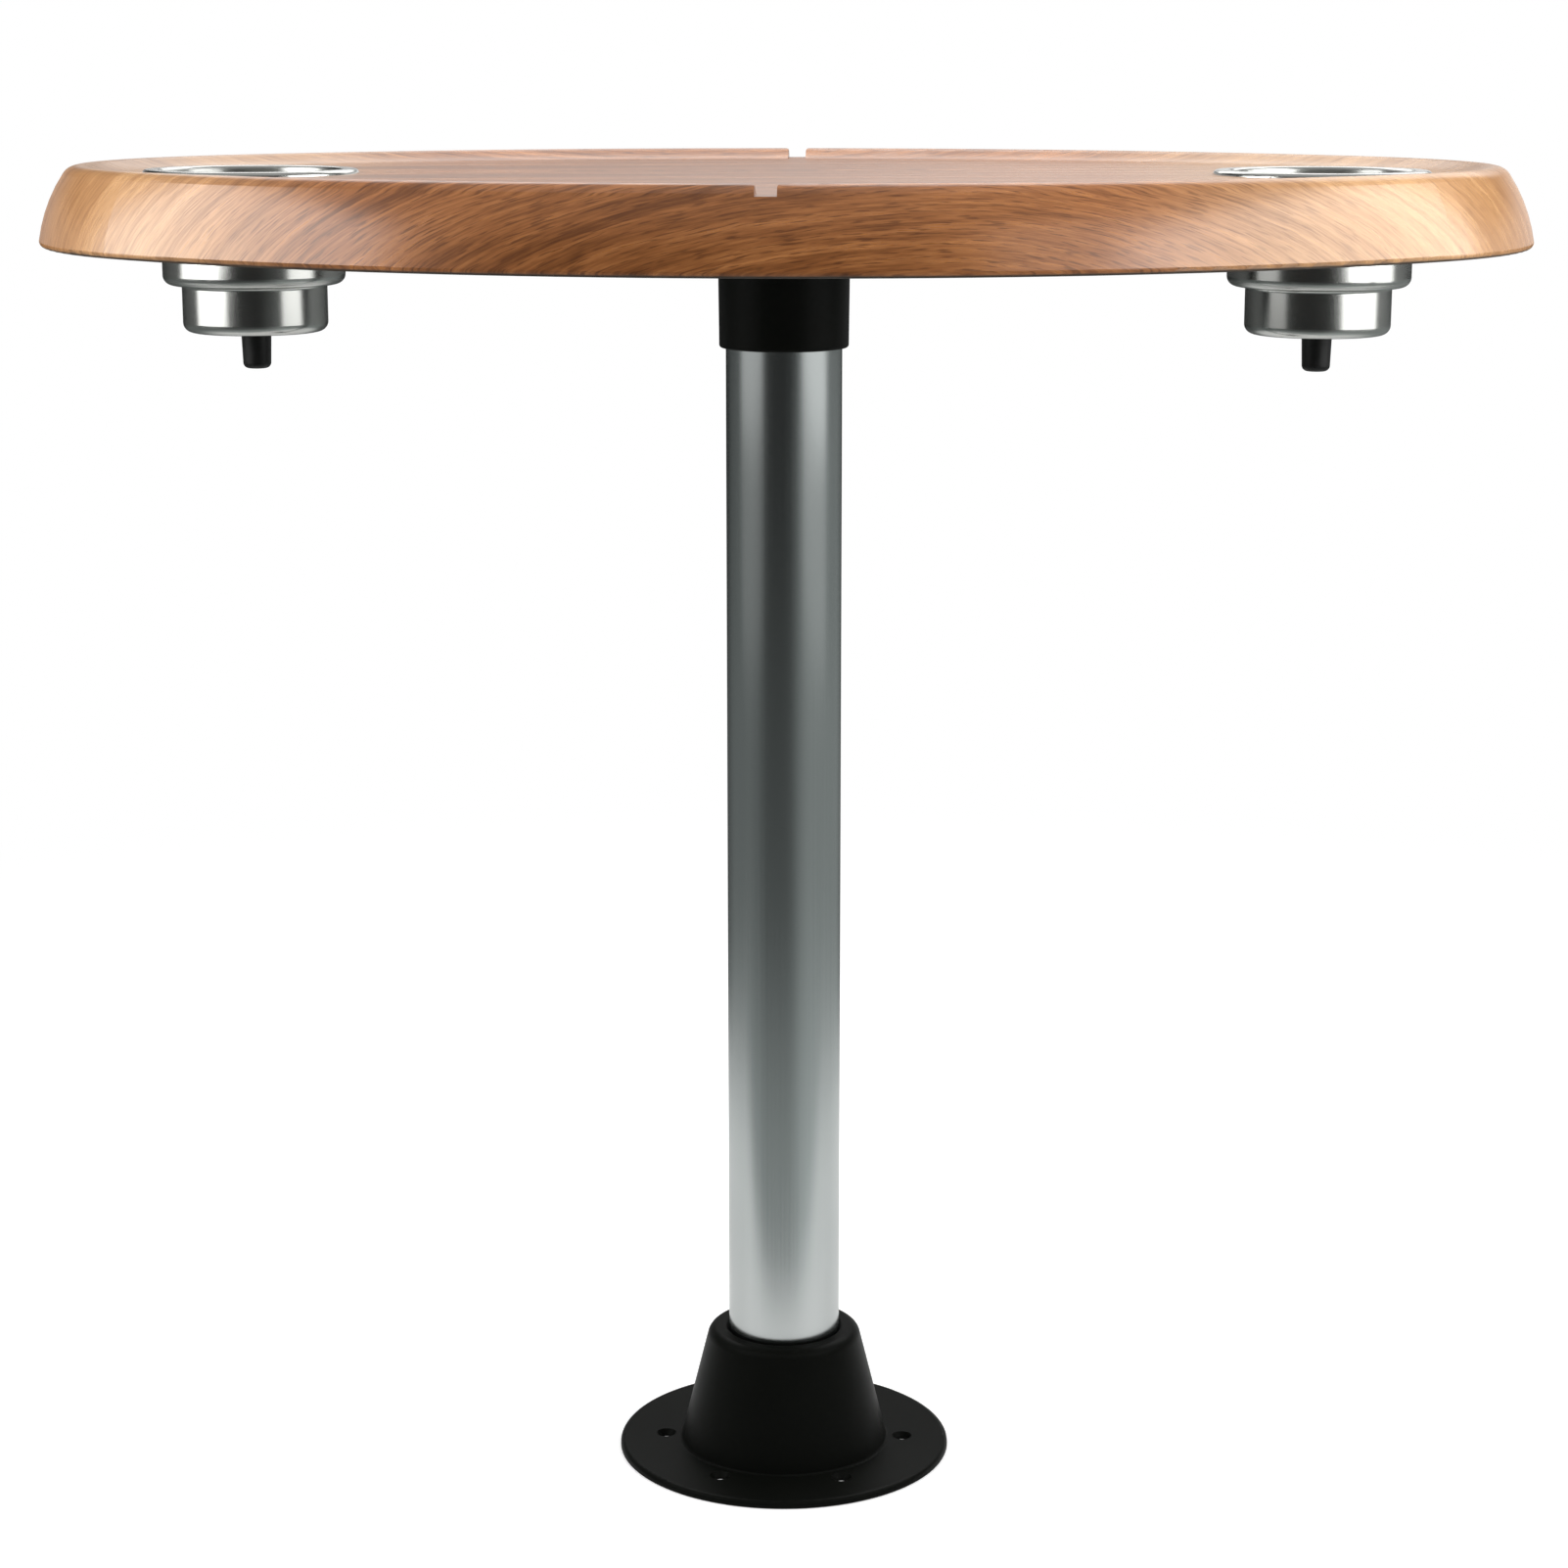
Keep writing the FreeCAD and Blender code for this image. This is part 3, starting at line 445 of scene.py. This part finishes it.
def make_teak_print():
    tree = Tree(bpy.data.materials.new("teak_print"))
    x, y, z = tree.place()
    outward_x = x / cad_high.x**2
    outward_y = y / cad_high.y**2
    outward = (outward_x * outward_x + outward_y * outward_y) ** 0.5
    drop = (FIELD - z).at_least(0) * FILM_STRETCH
    film_x = x + outward_x / outward * drop
    film_y = y + outward_y / outward * drop
    along = film_x * math.cos(FILM_TURN) + film_y * math.sin(FILM_TURN)
    across = film_y * math.cos(FILM_TURN) - film_x * math.sin(FILM_TURN)

    # Growth rings: long lines that drift a little and arch about the heart of the board
    drift = tree.noise(along * 3, across * 7, 0, detail=3) - 0.5
    swell = tree.noise(along * 1.1, 3.7, 0, detail=1) - 0.5
    offset = across - HEART_ACROSS
    depth = RING_DEPTH + swell * RING_SWELL
    rings = (offset * offset + depth * depth) ** 0.5 + drift * RING_DRIFT

    def grain(lengthwise, crosswise, layer, **look):
        """Noise about zero, drawn out along the rings."""
        return tree.noise(along * lengthwise, rings * crosswise, layer, **look) - 0.5

    # Tones along the grain, from broad zones to short pores
    zones = grain(2.5, 45, 4.2, detail=2)
    bands = grain(8, 230, 1.1, detail=3)
    streaks = grain(40, 800, 2.3, detail=4, roughness=0.65)
    fine = bands * BAND_CONTRAST + streaks * STREAK_CONTRAST
    # The right half of the board is painted lighter: painted light where the right lamp lights it more
    shade = MEAN_SHADE + zones * ZONE_CONTRAST + fine + tree.ease(x, *RIGHT_HALF_LIGHT)
    pores = tree.ease(grain(85, 1200, 7.1, detail=1), *PORE_CUT)
    # Paler towards both ends, partly painted highlight from the side lamps; the pores fade there too
    highlit_ends = tree.ease(abs(x - HEART_ALONG), *PALE_HIGHLIT_ENDS)
    # The tips are painted darker, as painted shade where the lamps' sheen stops
    shaded_tips = tree.ease(abs(x), *SHADED_TIPS)
    heart = tree.node("ValToRGB", {"stops": HEART_TONES}, {0: shade})
    pale_highlit = tree.node("ValToRGB", {"stops": PALE_HIGHLIT_TONES}, {0: shade})
    with_shaded_tips = tree.blend(shaded_tips, tree.blend(highlit_ends, heart, pale_highlit), TIP_SHADE_TINT, "MULTIPLY")
    pore_depth = MIDDLE_PORES + (END_PORES - MIDDLE_PORES) * highlit_ends
    flecked = tree.blend(pores * pore_depth, with_shaded_tips, PORE_COLOUR)
    # Painted shade along the bottom edge, which is also made rougher there
    bottom_edge_shade = tree.ease(z, *BOTTOM_EDGE_SHADE)
    return tree.finish({
        "Base Color": tree.blend(bottom_edge_shade, flecked, BOTTOM_EDGE_SHADE_COLOUR),
        "Roughness": 0.32 - 0.06 * shade + 0.5 * bottom_edge_shade,
        "Specular IOR Level": 0.5,
    })


dress(make_teak_print(), "top_shell")

# Underside panel: a flat sheet of brown plastic with a pebbled face.
# It is let into the shell from below and closes it.
SHEET_TONES = (0.075, 0.036, 0.018, 1), (0.105, 0.052, 0.027, 1)


def make_pebbled_sheet():
    tree = Tree(bpy.data.materials.new("pebbled_sheet"))
    x, y, z = tree.place()
    pebble = tree.noise(x, y, z, scale=900, detail=1)
    cloud = tree.noise(x, y, z, scale=7, detail=3)
    return tree.finish({
        "Base Color": tree.blend(cloud, *SHEET_TONES),
        "Roughness": 0.55 + 0.12 * pebble,
        "Normal": tree.bump(pebble, strength=0.5, distance=0.0003),
    })


dress(make_pebbled_sheet(), "underside_panel")

# Core and block: plywood sealed inside the top, which carries the screws of the socket.
# Its plies show as light and dark layers on the edges.
PLY_THICKNESS = 0.0013
PLY_TONES = (0.36, 0.22, 0.11, 1), (0.60, 0.42, 0.24, 1)


def make_plywood():
    tree = Tree(bpy.data.materials.new("plywood"))
    x, y, z = tree.place()
    plies = z.maths("PINGPONG", z, PLY_THICKNESS) / PLY_THICKNESS
    grain = tree.noise(x * 20, y * 400, z * 400, detail=3)
    return tree.finish({
        "Base Color": tree.blend(0.5 * plies + 0.5 * grain, *PLY_TONES),
        "Roughness": 0.6 + 0.2 * grain,
    })


dress(make_plywood(), "core_board", "mounting_block")

# Drink holders: deep drawn stainless cups with a curled rim, polished outside and brushed inside.
# Each drops into its hole in the top, and its drain tube is welded under it.
HANDS = ("left", "right")
STEEL_TONES = (0.51, 0.515, 0.49, 1), (0.60, 0.605, 0.58, 1)
POLISHED = 0.18
BRUSHED = 0.36
CUP_AXIS = sum(corner.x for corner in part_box("right_cup")) / 2
INSIDE_RADII = (0.0463, 0.0459)
INSIDE_LEVELS = (0.634, 0.636)


def make_stainless():
    tree = Tree(bpy.data.materials.new("polished_stainless"))
    x, y, z = tree.place()
    lines = tree.noise(x * 60, y * 60, z * 3000, detail=3, roughness=0.6)
    smear = tree.noise(x, y, z, scale=45, detail=3)
    uneven = 0.02 * lines + 0.05 * smear
    steel = {
        "Base Color": tree.blend(smear, *STEEL_TONES),
        "Metallic": 1,
        "Normal": tree.bump(lines, strength=0.02, distance=0.00001),
    }
    polished = tree.nodes["Principled BSDF"]
    tree.connect(polished, {**steel, "Roughness": POLISHED + uneven})
    brushed = tree.node("BsdfPrincipled", inputs={
        **steel,
        "Roughness": BRUSHED + uneven,
        "Anisotropic": 0.9,
        "Anisotropic Rotation": 0.25,
    })
    from_axis = abs(x) - CUP_AXIS
    radius = (from_axis * from_axis + y * y) ** 0.5
    inside = tree.ease(radius, *INSIDE_RADII) * tree.ease(z, *INSIDE_LEVELS)
    both = tree.node("MixShader", inputs={0: inside, 1: Wire(tree, polished.outputs[0]), 2: brushed})
    tree.connect(tree.nodes["Material Output"], {"Surface": both})
    return tree.owner


stainless = make_stainless()
for hand in HANDS:
    dress(stainless, f"{hand}_cup", f"{hand}_drain_spigot")

# Socket screws: six pan-head screws of the same stainless steel.
# They are driven up through the flange of the socket into the plywood block.
dress(stainless, "socket_screws")

# Seals and drain caps: black rubber with a faint bloom, cut as a flat ring or moulded as a cap.
# A ring lies under the rim of each drink holder, and a cap is pushed on each drain.
RUBBER_TONES = (0.003, 0.0032, 0.003, 1), (0.007, 0.0072, 0.0068, 1)


def make_black_rubber():
    tree = Tree(bpy.data.materials.new("black_rubber"))
    x, y, z = tree.place()
    skin = tree.noise(x, y, z, scale=1500, detail=2)
    bloom = tree.noise(x, y, z, scale=160, detail=3)
    return tree.finish({
        "Base Color": tree.blend(bloom, *RUBBER_TONES),
        "Roughness": 0.36 + 0.15 * bloom,
        "Specular IOR Level": 0.3,
        "Normal": tree.bump(skin, strength=0.2, distance=0.0001),
    })


black_rubber = make_black_rubber()
for hand in HANDS:
    dress(black_rubber, f"{hand}_cup_gasket", f"{hand}_drain_cap")
